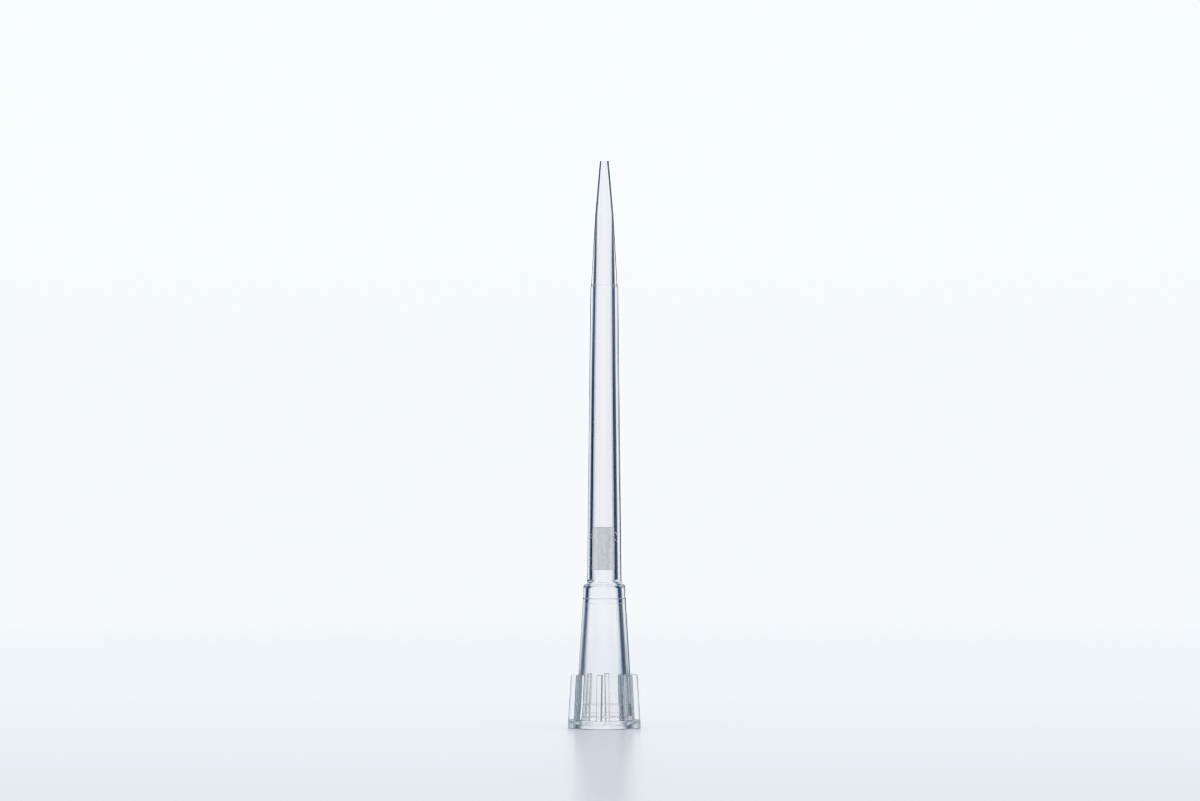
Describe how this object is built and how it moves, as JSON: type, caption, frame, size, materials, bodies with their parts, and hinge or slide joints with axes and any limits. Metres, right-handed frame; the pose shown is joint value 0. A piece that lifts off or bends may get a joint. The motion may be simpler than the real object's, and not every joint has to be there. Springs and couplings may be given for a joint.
{
  "type": "filter pipette tip",
  "caption": "Clear slender pipette tip with a finned collar, a tapered nozzle socket and a porous filter plug in its bore, standing on its rim.",
  "frame": {"origin": "centre of the underside of the collar's rim, on which the tip stands", "axes": "+Z along the tip's axis, from the socket's mouth up to the orifice; one fin points along +X"},
  "size_m": [0.006, 0.006, 0.046],
  "materials": {
    "clear_polypropylene": "clear moulded plastic, smooth and glossy",
    "sintered_polyethylene": "porous sintered plastic, matt"
  },
  "bodies": {
    "root": {"tip_body": "clear_polypropylene", "filter_plug": "sintered_polyethylene"}
  },
  "joints": []
}
